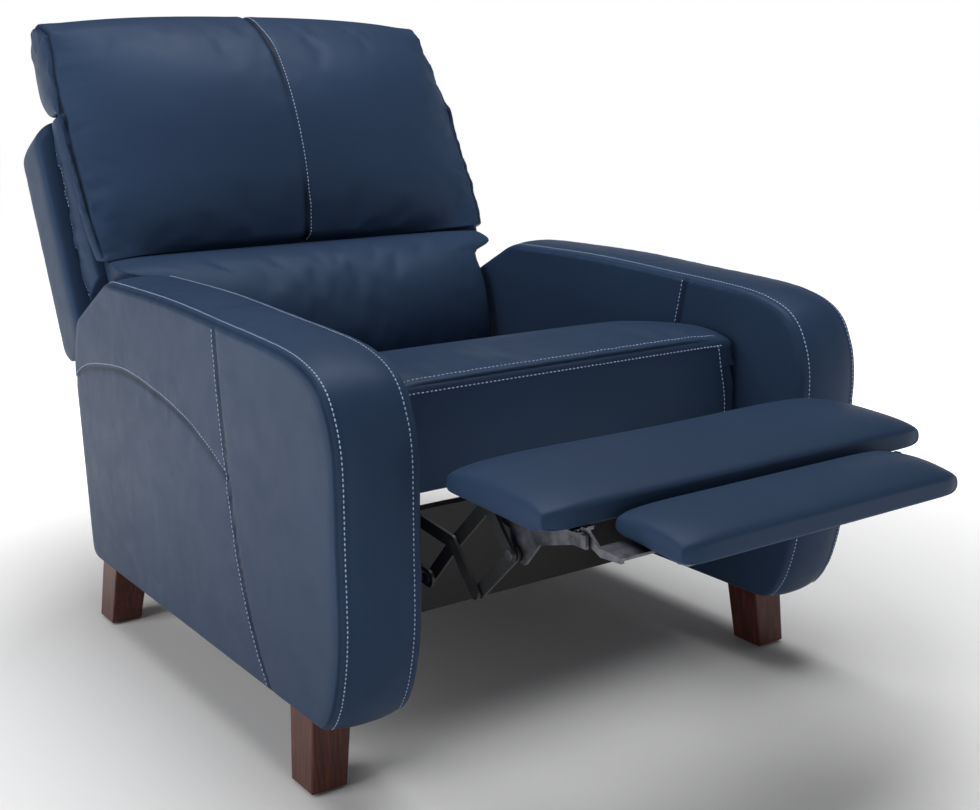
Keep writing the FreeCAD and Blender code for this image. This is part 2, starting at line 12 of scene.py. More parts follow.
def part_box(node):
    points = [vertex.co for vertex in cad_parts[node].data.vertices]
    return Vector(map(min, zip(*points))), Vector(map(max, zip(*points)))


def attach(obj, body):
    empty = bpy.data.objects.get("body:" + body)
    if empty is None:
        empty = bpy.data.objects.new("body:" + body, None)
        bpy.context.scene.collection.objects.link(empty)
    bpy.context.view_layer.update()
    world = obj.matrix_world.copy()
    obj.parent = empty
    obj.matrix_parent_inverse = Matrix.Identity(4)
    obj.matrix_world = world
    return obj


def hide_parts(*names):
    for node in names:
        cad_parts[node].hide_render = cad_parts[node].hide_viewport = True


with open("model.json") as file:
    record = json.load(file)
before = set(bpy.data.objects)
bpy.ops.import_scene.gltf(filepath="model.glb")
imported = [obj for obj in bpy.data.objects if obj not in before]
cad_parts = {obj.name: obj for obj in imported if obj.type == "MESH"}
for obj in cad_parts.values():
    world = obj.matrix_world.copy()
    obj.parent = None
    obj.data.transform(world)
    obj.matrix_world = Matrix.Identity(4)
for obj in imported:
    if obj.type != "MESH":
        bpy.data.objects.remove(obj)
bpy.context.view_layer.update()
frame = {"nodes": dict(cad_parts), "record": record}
NODES = frame["nodes"]
MM = 0.001

# ---- sizes of the upholstery, in metres ----
ARM_LO, ARM_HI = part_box("arm_band_left")
SEAT_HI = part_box("seat_cushion")[1]
FRONT_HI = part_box("seat_front_panel")[1]
PAD_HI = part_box("footrest_pad")[1]
FLAP_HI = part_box("front_pad")[1]
COVER_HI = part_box("outside_back_cover")[1]
PILLOW_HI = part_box("back_pillow")[1]
LUMBAR_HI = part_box("lumbar_cushion")[1]
BACK_DATUM = Vector((0.0, 0.303, 0.380))
BACK_LEAN = math.radians(22.0)
STITCH_PITCH = 0.0062
PATH_STEP = 0.003             # from one point of a seam line to the next
EDGE_SEAM = (0.002, 0.003)    # depth and width of the seams along plain edges
EDGE_GATHER = {"pucker": 0.0008, "pitch": 0.02, "reach": 0.015}


# ---- colours and shader nodes ----
def linear(code):
    """Hex sRGB colour as linear red, green, blue and alpha."""
    channels = [int(code[i:i + 2], 16) / 255 for i in (1, 3, 5)]
    return [c / 12.92 if c <= 0.04045 else ((c + 0.055) / 1.055) ** 2.4 for c in channels] + [1.0]


def add(material, kind, links=(), **settings):
    """Adds a shader node, sets its properties and plugs outputs of other nodes into its inputs."""
    node = material.node_tree.nodes.new("ShaderNode" + kind)
    for name, value in settings.items():
        if hasattr(node, name):
            setattr(node, name, value)
        else:
            node.inputs[name.replace("_", " ")].default_value = value
    for socket, source in links:
        material.node_tree.links.new(source, node.inputs[socket])
    return node


def blank(name):
    material = bpy.data.materials.new(name)
    material.use_nodes = True
    material.node_tree.nodes.clear()
    return material


def ramp(material, source, stops):
    """Colour ramp with (place, hex) stops."""
    node = add(material, "ValToRGB", [("Fac", source)])
    elements = node.color_ramp.elements
    while len(elements) < len(stops):
        elements.new(0.5)
    for element, (place, code) in zip(elements, stops):
        element.position = place
        element.color = linear(code)
    return node


def close(material, shader):
    add(material, "OutputMaterial", [("Surface", shader.outputs[0])])
    return material


def navy_leather():
    """Drum-dyed, semi-aniline cowhide: a satin skin with a fine pebble, soft creases and tonal mottling.

    The tones drift over some 0.2 m, the pebble is 2.2 mm, the grain 4 mm, the creases about 45 mm and the
    padding's ripples about 140 mm. The seam attribute, which groove() sets, paints shade into the seams.
    """
    m = blank("navy_leather")
    place = add(m, "TexCoord").outputs["Object"]
    mottle = add(m, "TexNoise", [("Vector", place)], Scale=4.5, Detail=3.0, Roughness=0.5)
    colour = ramp(m, mottle.outputs["Fac"], [(0.3, "#26354c"), (0.6, "#28384f"), (0.8, "#2a3b54")])
    # painted shade: the seam attribute darkens the leather towards #0a111d where shadow falls in the seams
    seam_shade = add(m, "Attribute", attribute_name="seam")
    dark = add(m, "Mix", [(0, seam_shade.outputs["Fac"]), (6, colour.outputs["Color"])], data_type="RGBA")
    dark.inputs[7].default_value = linear("#0a111d")
    pebble = add(m, "TexVoronoi", [("Vector", place)], Scale=1 / 0.0022, feature="DISTANCE_TO_EDGE")
    grain = add(m, "TexNoise", [("Vector", place)], Scale=1 / 0.004, Detail=4.0, Roughness=0.6)
    crease = add(m, "TexNoise", [("Vector", place)], Scale=22.0, Detail=5.0, Roughness=0.55, Distortion=0.6)
    soft = add(m, "TexNoise", [("Vector", place)], Scale=7.0, Detail=2.0)
    relief = add(m, "Bump", [("Height", pebble.outputs["Distance"])], Strength=0.12, Distance=0.0004)
    for height, strength, distance in ((grain, 0.18, 0.0005), (crease, 0.03, 0.003), (soft, 0.03, 0.010)):
        relief = add(m, "Bump", [("Height", height.outputs["Fac"]), ("Normal", relief.outputs[0])],
                     Strength=strength, Distance=distance)
    rough = add(m, "MapRange", [("Value", crease.outputs["Fac"])],
                From_Min=0.3, From_Max=0.7, To_Min=0.42, To_Max=0.5)
    shader = add(m, "BsdfPrincipled", [("Base Color", dark.outputs[2]), ("Roughness", rough.outputs[0]),
                                       ("Normal", relief.outputs[0])], IOR=1.45, Specular_IOR_Level=0.16)
    shader.inputs["Specular Tint"].default_value = linear("#a8bce6")
    return close(m, shader)


def thread():
    """Bonded nylon thread, paler than the hide so that the stitching shows."""
    m = blank("pale_thread")
    shader = add(m, "BsdfPrincipled", Roughness=0.6)
    shader.inputs["Base Color"].default_value = linear("#93a4c2")
    return close(m, shader)


def walnut():
    """Beech block stained dark walnut under satin lacquer: long upright grain with darker pores."""
    m = blank("dark_walnut_stain")
    place = add(m, "TexCoord").outputs["Object"]
    stretch = add(m, "Mapping", [("Vector", place)])
    stretch.inputs["Scale"].default_value = (60.0, 60.0, 5.0)
    grain = add(m, "TexNoise", [("Vector", stretch.outputs[0])],
                Scale=3.0, Detail=8.0, Roughness=0.6, Distortion=0.8)
    colour = ramp(m, grain.outputs["Fac"], [(0.3, "#260e08"), (0.5, "#461b0f"), (0.72, "#642b17")])
    bump = add(m, "Bump", [("Height", grain.outputs["Fac"])], Strength=0.25, Distance=0.0008)
    shader = add(m, "BsdfPrincipled", [("Base Color", colour.outputs[0]), ("Normal", bump.outputs[0])],
                 Roughness=0.42, Specular_IOR_Level=0.35, Coat_Weight=0.1)
    return close(m, shader)


def frame_wood():
    """Kiln-dried hardwood left bare inside the upholstery."""
    m = blank("bare_hardwood")
    place = add(m, "TexCoord").outputs["Object"]
    stretch = add(m, "Mapping", [("Vector", place)])
    stretch.inputs["Scale"].default_value = (8.0, 40.0, 40.0)
    grain = add(m, "TexNoise", [("Vector", stretch.outputs[0])], Scale=2.0, Detail=7.0)
    colour = ramp(m, grain.outputs["Fac"], [(0.3, "#a0764a"), (0.7, "#c8a173")])
    bump = add(m, "Bump", [("Height", grain.outputs["Fac"])], Strength=0.2, Distance=0.001)
    shader = add(m, "BsdfPrincipled", [("Base Color", colour.outputs[0]), ("Normal", bump.outputs[0])],
                 Roughness=0.7)
    return close(m, shader)


def metal(name, low, high, metallic, rough_low, rough_high, grit):
    """Steel with a finish that varies a little: low and high are its two tones, grit its grain in metres."""
    m = blank(name)
    place = add(m, "TexCoord").outputs["Object"]
    cloud = add(m, "TexNoise", [("Vector", place)], Scale=45.0, Detail=6.0, Roughness=0.65)
    fine = add(m, "TexNoise", [("Vector", place)], Scale=1 / grit, Detail=3.0)
    colour = ramp(m, cloud.outputs["Fac"], [(0.3, low), (0.7, high)])
    rough = add(m, "MapRange", [("Value", cloud.outputs["Fac"])], To_Min=rough_low, To_Max=rough_high)
    bump = add(m, "Bump", [("Height", fine.outputs["Fac"])], Strength=0.25, Distance=0.0004)
    shader = add(m, "BsdfPrincipled", [("Base Color", colour.outputs[0]), ("Roughness", rough.outputs[0]),
                                       ("Normal", bump.outputs[0])], Metallic=metallic)
    return close(m, shader)


def lining_cloth():
    """Spun-bonded black dust cloth stapled under the boards."""
    m = blank("black_lining_cloth")
    place = add(m, "TexCoord").outputs["Object"]
    weave = add(m, "TexNoise", [("Vector", place)], Scale=1 / 0.0015, Detail=3.0, Roughness=0.7)
    colour = ramp(m, weave.outputs["Fac"], [(0.35, "#0b0b0d"), (0.7, "#1b1b1f")])
    bump = add(m, "Bump", [("Height", weave.outputs["Fac"])], Strength=0.4, Distance=0.0006)
    shader = add(m, "BsdfPrincipled", [("Base Color", colour.outputs[0]), ("Normal", bump.outputs[0])],
                 Roughness=0.9)
    return close(m, shader)


LEATHER = navy_leather()
THREAD = thread()
WALNUT = walnut()
HARDWOOD = frame_wood()
BLACK_STEEL = metal("black_painted_steel", "#0c0c0e", "#19191c", 0.0, 0.38, 0.6, 0.0012)
ZINC = metal("zinc_plated_steel", "#3c3d42", "#77787e", 1.0, 0.28, 0.5, 0.0015)
SPRING = metal("oiled_spring_wire", "#3a3b40", "#62646a", 1.0, 0.3, 0.5, 0.0015)
PLASTIC = metal("black_moulded_plastic", "#0b0b0c", "#141416", 0.0, 0.45, 0.6, 0.001)
LINING = lining_cloth()


# ---- mesh helpers ----
def finish_piece(name, bm, material, body, rounded=True):
    """Turns a bmesh into a piece that rides on a body and carries the material it is given."""
    mesh = bpy.data.meshes.new(name)
    bm.to_mesh(mesh)
    bm.free()
    piece = bpy.data.objects.new(name, mesh)
    bpy.context.scene.collection.objects.link(piece)
    mesh.materials.append(material)
    mesh.polygons.foreach_set("use_smooth", [rounded] * len(mesh.polygons))
    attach(piece, body)
    return piece


def block(cuts_x, cuts_y, cuts_z):
    """Cube from -1 to 1, cut a chosen number of times along each axis."""
    bm = bmesh.new()
    bmesh.ops.create_cube(bm, size=2.0)
    for axis, cuts in enumerate((cuts_x, cuts_y, cuts_z)):
        along = [e for e in bm.edges if abs((e.verts[0].co - e.verts[1].co)[axis]) > 1e-4]
        bmesh.ops.subdivide_edges(bm, edges=along, cuts=cuts, use_grid_fill=True)
    return bm


def shaped(bm, place):
    """Moves each vertex of a block to place(x, y, z)."""
    for v in bm.verts:
        v.co = place(v.co.x, v.co.y, v.co.z)
    bmesh.ops.recalc_face_normals(bm, faces=bm.faces)
    return bm


def smooth(t):
    t = max(0.0, min(1.0, t))
    return t * t * (3 - 2 * t)


def through(points, k):
    """Point on the smooth line through the points, k from 0 to 1 with equal steps between points."""
    last = len(points) - 1
    f = max(0.0, min(1.0, k)) * last
    i = min(int(f), last - 1)
    t = f - i
    a, b, c, d = (Vector(points[max(0, min(last, j))]) for j in (i - 1, i, i + 1, i + 2))
    bend = (2 * a - 5 * b + 4 * c - d) * t * t
    return 0.5 * ((2 * b) + (c - a) * t + bend + (3 * b - a - 3 * c + d) * t ** 3)


def evenly(points, step=PATH_STEP):
    """Points a step apart on the smooth line through the given ones."""
    count = 24 * (len(points) - 1)
    fine = [through(points, i / count) for i in range(count + 1)]
    result = [fine[0]]
    need = step
    for p, q in zip(fine, fine[1:]):
        gap = (q - p).length
        while gap >= need:
            p = p.lerp(q, need / gap)
            result.append(p.copy())
            gap = (q - p).length
            need = step
        need -= gap
    return result


def groove(piece, path, depth, width, pucker=0.0, pitch=0.016, reach=0.022):
    """Presses a seam into the surface along a path and gathers the leather beside it.

    The gathers are pucker high and about a pitch apart, and fade over the reach.
    """
    mesh = piece.data
    if "seam" not in mesh.attributes:
        mesh.attributes.new("seam", "FLOAT", "POINT")
    seam = mesh.attributes["seam"].data
    tree = KDTree(len(path))
    for i, p in enumerate(path):
        tree.insert(p, i)
    tree.balance()
    step = (path[1] - path[0]).length
    far = max(3 * width, 3 * reach if pucker else 0)
    moved = []
    for v in mesh.vertices:
        _, i, gap = tree.find(v.co)
        if gap > far:
            continue
        dip = math.exp(-(gap / width) ** 2)
        fold = math.exp(-gap / reach) * (1 - math.exp(-(gap / width) ** 2))
        run = i * step / pitch
        wave = noise.noise(Vector((run, gap * 22, 7.3)))
        wave += 0.5 * noise.noise(Vector((run * 2.3, gap * 30, 1.9)))
        moved.append((v.index, v.co - v.normal * (depth * dip - pucker * fold * wave)))
        # painted shade: the seam attribute records how deep in the groove a point lies, and the leather is
        # darkened by it
        seam[v.index].value = max(seam[v.index].value, 0.95 * dip)
    for index, co in moved:
        mesh.vertices[index].co = co


def one_stitch():
    """One stitch of thread as a small closed bead of 20 faces, because there are thousands."""
    half_size = (0.0024, 0.0010, 0.0008)
    mesh = bpy.data.meshes.new("stitch")
    bm = bmesh.new()
    bmesh.ops.create_icosphere(bm, subdivisions=1, radius=1.0)
    bmesh.ops.scale(bm, vec=half_size, verts=bm.verts)
    bm.to_mesh(mesh)
    bm.free()
    return mesh


STITCH = one_stitch()


def stitching(name, rows, pieces, body):
    """Rows of thread laid on the nearest surface of the pieces."""
    graph = bpy.context.evaluated_depsgraph_get()
    trees = [BVHTree.FromObject(piece, graph) for piece in pieces]
    bm = bmesh.new()
    for row in rows:
        points = evenly(row, STITCH_PITCH)
        for a, b in zip(points, points[1:]):
            middle = (a + b) / 2
            hits = [tree.find_nearest(middle) for tree in trees]
            spot, normal, _, _ = min(hits, key=lambda hit: hit[3])
            forward = (b - a).normalized()
            side = normal.cross(forward).normalized()
            forward = side.cross(normal)
            turn = Matrix((forward, side, normal)).transposed().to_4x4()
            copy = STITCH.copy()
            copy.transform(Matrix.Translation(spot + normal * 0.0003) @ turn)
            bm.from_mesh(copy)
            bpy.data.meshes.remove(copy)
    return finish_piece(name, bm, THREAD, body)


def subdivide(piece, levels=1):
    """Smooths a finished cushion mesh once more and keeps the result as its mesh."""
    modifier = piece.modifiers.new("smooth", "SUBSURF")
    modifier.levels = levels
    modifier.render_levels = levels
    graph = bpy.context.evaluated_depsgraph_get()
    mesh = bpy.data.meshes.new_from_object(piece.evaluated_get(graph))
    piece.modifiers.clear()
    old = piece.data
    piece.data = mesh
    bpy.data.meshes.remove(old)


def inflate(pieces, pressure=3.0, slack=0.006, cap=0.009, frames=16):
    """Blows up cushions while their "held" vertices stay, so that the leather gathers at the seams.

    The leather is cut larger by the slack, and no point moves further than the cap.
    """
    scene = bpy.context.scene
    before = {}
    for piece in pieces:
        before[piece.name] = [v.co.copy() for v in piece.data.vertices]
        cloth = piece.modifiers.new("leather", "CLOTH")
        cloth.settings.quality = 4
        cloth.settings.mass = 0.6
        cloth.settings.tension_stiffness = 25
        cloth.settings.compression_stiffness = 25
        cloth.settings.shear_stiffness = 12
        cloth.settings.bending_stiffness = 1.5
        cloth.settings.use_pressure = True
        cloth.settings.uniform_pressure_force = pressure
        cloth.settings.shrink_min = -slack
        cloth.settings.vertex_group_mass = "held"
        cloth.settings.effector_weights.gravity = 0.0
        cloth.point_cache.frame_end = frames
    for number in range(1, frames + 1):
        scene.frame_set(number)
    graph = bpy.context.evaluated_depsgraph_get()
    for piece in pieces:
        mesh = bpy.data.meshes.new_from_object(piece.evaluated_get(graph))
        piece.modifiers.clear()
        for v, start in zip(mesh.vertices, before[piece.name]):
            move = v.co - start
            if move.length > cap:
                v.co = start + move * (cap / move.length)
        piece.data = mesh
    scene.frame_set(1)


# ---- arms ----
X_IN = ARM_LO.x
X_OUT = ARM_HI.x
ARM_OUTLINE = [(289, 581), (65, 580), (-126, 571), (-281, 562), (-345, 550), (-381, 532), (-402, 500),
               (-413, 452), (-408, 349), (-401, 235), (-378, 154), (-347, 109)]
ARM_REAR = [(470, 109), (483, 122), (483, 431), (450, 508), (310, 575)]
ARM_COUNT = 420               # points round an arm
ARM_EDGE = 0.011              # rounded edge between the band and a side panel
EDGE_STEPS = 6
BAND_STEPS = 26
BAND_CROWN = 0.0056           # the band's swell between its two seams
PANEL_SINK = 0.003            # the inner panel lies this far inside the band


def arm_loop():
    """Even points round the arm: the front, top and chamfer are smooth, the bottom and rear straight."""
    front = [Vector((0, y * MM, z * MM)) for y, z in ARM_OUTLINE]
    points = evenly(front, 0.004)
    rear = [Vector((0, y * MM, z * MM)) for y, z in ARM_REAR]
    corners = [front[-1]] + rear + [front[0]]
    for a, b in zip(corners, corners[1:]):
        count = max(1, int((b - a).length / 0.006))
        points += [a.lerp(b, i / count) for i in range(1, count + 1)]
    total = sum((b - a).length for a, b in zip(points, points[1:] + points[:1]))
    step = total / ARM_COUNT
    result = []
    need = 0.0
    for a, b in zip(points, points[1:] + points[:1]):
        gap = (b - a).length
        start = a
        while gap > need and len(result) < ARM_COUNT:
            start = start.lerp(b, need / gap) if gap else start
            result.append(start.copy())
            gap = (b - start).length
            need = step
        need -= gap
    for _ in range(6):
        after = result[1:] + result[:1]
        result = [(result[i - 1] + result[i] * 2 + after[i]) / 4 for i in range(len(result))]
    return result


LOOP = arm_loop()
LOOP_NORMAL = []
for index in range(len(LOOP)):
    along = LOOP[(index + 1) % len(LOOP)] - LOOP[index - 1]
    LOOP_NORMAL.append(Vector((0, -along.z, along.y)).normalized())
CENTRE = Vector((0, 0.06, 0.34))
if (LOOP[0] - CENTRE).dot(LOOP_NORMAL[0]) < 0:
    LOOP_NORMAL = [-n for n in LOOP_NORMAL]


def arm_ring(x, inset, shrink=1.0):
    """Outline at one x, moved in by inset and then drawn together towards the middle."""
    ring = []
    for p, n in zip(LOOP, LOOP_NORMAL):
        q = p - n * inset
        q = CENTRE + (q - CENTRE) * shrink
        ring.append(Vector((x, q.y, q.z)))
    return ring


def arm_rings():
    """Rings from the middle of the inner panel over the band to the middle of the outer panel."""
    rings = [arm_ring(X_IN + PANEL_SINK, 0.0, 0.04 + 0.93 * i / 49) for i in range(50)]

    def rounding(i):
        turn = i / EDGE_STEPS * math.pi / 2
        return ARM_EDGE * (1 - math.cos(turn)) * 0.9, 0.007 * (1 - math.sin(turn)) + 0.002

    for i in range(1, EDGE_STEPS + 1):
        across, inset = rounding(i)
        rings.append(arm_ring(X_IN + PANEL_SINK + across, inset))
    width = X_OUT - X_IN - 2 * ARM_EDGE
    for i in range(1, BAND_STEPS):
        k = i / BAND_STEPS
        rings.append(arm_ring(X_IN + ARM_EDGE + width * k, 0.003 - BAND_CROWN * (1 - abs(2 * k - 1) ** 2.6)))
    for i in range(EDGE_STEPS, -1, -1):
        across, inset = rounding(i)
        rings.append(arm_ring(X_OUT - across - 0.001, inset))
    for i in range(1, 60):
        shrink = 0.975 - 0.935 * i / 59
        bulge = 0.002 * (1 - shrink)
        rings.append(arm_ring(X_OUT + bulge, 0.0, shrink))
    return rings


def arm(side):
    """Leather of one arm as a single skin, extruded ring by ring; side is 1 for the sitter's left."""
    name = "left" if side > 0 else "right"
    rings = arm_rings()
    bm = bmesh.new()
    verts = [bm.verts.new(p) for p in rings[0]]
    edges = [bm.edges.new((verts[i], verts[(i + 1) % len(verts)])) for i in range(len(verts))]
    bmesh.ops.contextual_create(bm, geom=edges)
    for ring in rings[1:]:
        made = bmesh.ops.extrude_edge_only(bm, edges=edges)["geom"]
        edges = [g for g in made if isinstance(g, bmesh.types.BMEdge)]
        fresh = [g for g in made if isinstance(g, bmesh.types.BMVert)]
        for v, p in zip(fresh, ring):
            v.co = p
    bmesh.ops.contextual_create(bm, geom=edges)
    bmesh.ops.triangulate(bm, faces=[f for f in bm.faces if len(f.verts) > 4])
    if side < 0:
        bmesh.ops.scale(bm, vec=(-1, 1, 1), verts=bm.verts)
    bmesh.ops.recalc_face_normals(bm, faces=bm.faces)
    piece = finish_piece("arm_cover_" + name, bm, LEATHER, "base")
    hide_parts("arm_band_" + name, "arm_outer_panel_" + name, "arm_inner_panel_" + name)
    return piece


def side_path(side, points, x):
    """Smooth path on a side of an arm, through (y, z) points in millimetres."""
    return evenly([Vector((side * x, y * MM, z * MM)) for y, z in points])


def ring_path(side, x, inset):
    """Path round the front and top of an arm, from the underside at the front to the rear end of the top."""
    ring = arm_ring(x, inset)
    low = min(range(len(ring)), key=lambda i: (ring[i] - Vector((x, -0.347, 0.112))).length)
    high = min(range(len(ring)), key=lambda i: (ring[i] - Vector((x, 0.470, 0.470))).length)
    step = 1 if LOOP[(low + 20) % len(LOOP)].z > LOOP[(low - 20) % len(LOOP)].z else -1
    path = []
    i = low
    while i != high:
        path.append(Vector((side * x, ring[i].y, ring[i].z)))
        i = (i + step) % len(ring)
    return evenly(path)


# seams of the arm panels as (y, z) in millimetres
SIDE_SEAM = [(-105, 561), (-109, 472), (-118, 384), (-134, 270), (-166, 172), (-203, 112)]
ARC_SEAM = [(482, 404), (430, 428), (362, 443), (237, 454), (120, 444), (15, 425), (-55, 402), (-118, 374)]
INNER_SEAM = [(-168, 562), (-150, 493), (-138, 430)]
TOP_SEAM_Y = -0.056           # the band's cross seam, in metres
SEAM_TO_ROW = 7               # from a panel seam to its row of stitches, in millimetres


def sewn_arm(side):
    """One arm with its seams pressed in and its top stitching laid on."""
    piece = arm(side)
    rows = []
    for x, inward, row_in in ((X_OUT, -1, 0.010), (X_IN, 1, 0.015)):
        groove(piece, ring_path(side, x + 0.0015 * inward, 0.004), 0.0026, 0.0026,
               pucker=0.0007, pitch=0.020, reach=0.014)
        rows.append(ring_path(side, x + row_in * inward, -0.003))
    for seam, x in ((SIDE_SEAM, X_OUT), (ARC_SEAM, X_OUT), (INNER_SEAM, X_IN + 0.002)):
        groove(piece, side_path(side, seam, x), 0.0022, 0.0035, pucker=0.0008, pitch=0.022, reach=0.016)
    top = max((p for p in LOOP if abs(p.y - TOP_SEAM_Y) < 0.02), key=lambda p: p.z).z
    over_band = (X_IN + 0.006, (X_IN + X_OUT) / 2, X_OUT - 0.006)
    groove(piece, evenly([Vector((side * x, TOP_SEAM_Y, top + 0.004)) for x in over_band]),
           0.0018, 0.0028, pucker=0.0005)
    rows.append(side_path(side, [(y + SEAM_TO_ROW, z) for y, z in SIDE_SEAM], X_OUT))
    rows.append(side_path(side, [(y, z + SEAM_TO_ROW - 1) for y, z in ARC_SEAM], X_OUT))
    rows.append(side_path(side, [(y + SEAM_TO_ROW, z) for y, z in INNER_SEAM], X_IN))
    stitching("arm_stitching_" + ("left" if side > 0 else "right"), rows, [piece], "base")


sewn_arm(1)
sewn_arm(-1)


# ---- back ----
def back(x, s, t):
    """Point given by s up the back and t forward from it, both from the datum."""
    y = BACK_DATUM.y + s * math.sin(BACK_LEAN) - t * math.cos(BACK_LEAN)
    z = BACK_DATUM.z + s * math.cos(BACK_LEAN) + t * math.sin(BACK_LEAN)
    return Vector((x, y, z))


# front and rear of the pillow as (s, t) in millimetres, from its lower edge up
PILLOW_FRONT = [(266, -94), (272, -66), (300, -47), (345, -35), (400, -29), (470, -22), (540, -24),
                (600, -42), (652, -80)]
PILLOW_REAR = [(264, -100), (300, -100), (350, -100), (400, -100), (460, -100), (505, -102), (524, -160),
               (570, -208), (640, -218)]


def pillow_place(x, b, c):
    """Point of the pillow for a block's x across, b up and c forward, each from -1 to 1."""
    k = (b + 1) / 2
    front = through(PILLOW_FRONT, k)
    rear = through(PILLOW_REAR, k)
    seam_s = 262 + (650 - 262) * k
    seam = Vector((seam_s, -62 - 0.13 * (seam_s - 229)))
    front = front.lerp(seam, abs(x) ** 3.4)
    point = rear.lerp(front, (c + 1) / 2)
    point.x += 46 * (1 - c * c) * smooth((k - 0.75) / 0.25) * (1 - 0.22 * x * x)
    point.x -= 14 * max(0.0, -x) ** 6 * (1 - smooth(k / 0.3)) * (1 + c) / 2
    half = PILLOW_HI.x * 1000 - 10 * smooth((k - 0.7) / 0.3) - 5 * smooth((0.2 - k) / 0.2)
    across = x * half + math.copysign(6 * (1 - c * c) * abs(x) ** 8, x)
    return back(across * MM, point.x * MM, point.y * MM)


def pillow():
    bm = shaped(block(50, 40, 8), pillow_place)
    piece = finish_piece("back_pillow_leather", bm, LEATHER, "back")
    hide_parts("back_pillow")
    return piece


def lumbar():
    """Cushion of the small of the back, wider above the arms than between them."""
    front = [(17, -32), (38, -14), (70, -3), (110, 6), (150, 8), (190, -1), (225, -24), (250, -56),
             (261, -84)]

    def place(x, b, c):
        k = (b + 1) / 2
        f = through(front, k)
        r = Vector((17 + 244 * k, -99))
        f = f.lerp(Vector((f.x, f.y - 12)), abs(x) ** 6)
        p = r.lerp(f, (c + 1) / 2)
        half = LUMBAR_HI.x - 0.056 + 0.055 * smooth((p.x - 200) / 22)
        return back(x * half, p.x * MM, p.y * MM)

    bm = shaped(block(60, 24, 8), place)
    piece = finish_piece("lumbar_leather", bm, LEATHER, "back")
    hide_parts("lumbar_cushion")
    return piece


def outside_back():
    """Upholstered slab behind the pillow, and the gathered border that joins it to the pillow."""
    half = COVER_HI.x

    def slab(x, b, c):
        k = (b + 1) / 2
        s = 144 + 378 * k
        rear = -264 + 20 * smooth((s - 480) / 42) ** 2
        front = -159 - 8 * smooth((s - 495) / 27)
        t = rear + (front - rear) * (c + 1) / 2
        corner = 22 * max(0.0, (k - 0.9) / 0.1) ** 2 + 8 * max(0.0, (0.06 - k) / 0.06) ** 2
        shoulder = 5 * abs(c) ** 6
        across = abs(x) * half - (corner * abs(x) ** 4 + shoulder * abs(x) ** 6) * MM
        return back(math.copysign(across, x), (s - 6 * abs(x) ** 30) * MM, t * MM)

    def border(x, b, c):
        k = (b + 1) / 2
        low = 205 + 30 * (c + 1) / 2
        s = low + (510 - low) * k
        t = -165 + 68 * (c + 1) / 2
        puff = 7 * (1 - c * c) * abs(x) ** 8 - 3 * abs(b) ** 8
        return back(math.copysign(abs(x) * 0.360 + puff * MM, x), s * MM, t * MM)

    piece = finish_piece("outside_back_leather", shaped(block(70, 44, 12), slab),
                         LEATHER, "back")
    edge_piece = finish_piece("back_border_leather", shaped(block(30, 60, 12), border),
                              LEATHER, "back")
    for thing in (piece, edge_piece):
        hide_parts("outside_back_cover")
        subdivide(thing)
    rows = []
    for sign in (1, -1):
        seam = [border(sign, -0.9 + 1.8 * i / 30, -0.8) for i in range(31)]
        groove(edge_piece, evenly(seam), 0.004, 0.004, pucker=0.009, pitch=0.034, reach=0.03)
        rows.append([p + Vector((0, -0.006, 0)) for p in seam])
        rear = [slab(sign * 0.985, -0.97 + 1.94 * i / 30, -1) for i in range(31)]
        groove(piece, evenly(rear), *EDGE_SEAM, **EDGE_GATHER)
    stitching("back_border_stitching", rows, [edge_piece], "back")


outside_back()


# ---- seat ----
# top of the seat along its middle as (y, z) in millimetres
SEAT_TOP = [(-284, 489), (-277, 498), (-250, 506), (-200, 508), (-120, 497), (0, 473), (150, 442), (260, 419),
            (311, 403)]


def seat():
    """Seat cushion, crowned across and falling towards the back."""
    half = SEAT_HI.x

    def place(x, y, z):
        p = through(SEAT_TOP, (y + 1) / 2)
        high = p.y - 12 * abs(x) ** 7
        low = 448 - (p.x + 257) * 0.18
        across = half - 0.002 * (1 - z * z) - 0.015 * smooth((-0.7 - y) / 0.3) * (z + 1) / 2
        return Vector((x * across, p.x * MM, (low + (high - low) * (z + 1) / 2) * MM))

    bm = shaped(block(52, 46, 6), place)
    piece = finish_piece("seat_leather", bm, LEATHER, "seat")
    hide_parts("seat_cushion")
    return piece


def seat_front():
    """Padded panel under the front edge of the seat."""
    half = FRONT_HI.x

    def place(x, y, z):
        k = (z + 1) / 2
        height = 357 + (489.5 - 357) * k
        bow = 5 * math.sin(math.pi * k) ** 0.7 - 4 * abs(x) ** 14
        front = -281 - bow
        rear = -260 - 20 * smooth((k - 0.66) / 0.08)
        depth = front + (rear - front) * (y + 1) / 2
        return Vector((x * (half - 0.015 * smooth((k - 0.45) / 0.55)), depth * MM, height * MM))

    bm = shaped(block(80, 4, 30), place)
    piece = finish_piece("seat_front_leather", bm, LEATHER, "seat")
    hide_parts("seat_front_panel")
    subdivide(piece)
    return piece


# ---- footrest pads ----
def pad(name, nodes, body, half, top, under, cuts):
    """Leather wrapped over a board: crowned on top, thick rounded edges, black lining underneath."""
    def place(x, y, z):
        k = (y + 1) / 2
        t = through(top, k)
        u = through(under, k)
        edge = abs(x) ** 9
        upper = t.y - (t.y - u.y) * 0.22 * edge
        lower = u.y + 2.2 * abs(x) ** 30
        point = t.lerp(u, (1 - z) / 2)
        height = lower + (upper - lower) * (z + 1) / 2
        across = x * (half - 3 * (abs(z) ** 3) - 7 * abs(y) ** 18)
        along = point.x - math.copysign(5 * abs(x) ** 24, y)
        return Vector((across * MM, along * MM, height * MM))

    bm = shaped(block(*cuts), place)
    piece = finish_piece(name, bm, LEATHER, body)
    piece.data.materials.append(LINING)
    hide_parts(*nodes)
    return piece


def lined(piece, y0, y1, half):
    """Gives the flat underside of a pad its black lining."""
    for face in piece.data.polygons:
        c = face.center
        if face.normal.z < -0.9 and abs(c.x) < half * MM and y0 * MM < c.y < y1 * MM:
            face.material_index = 1


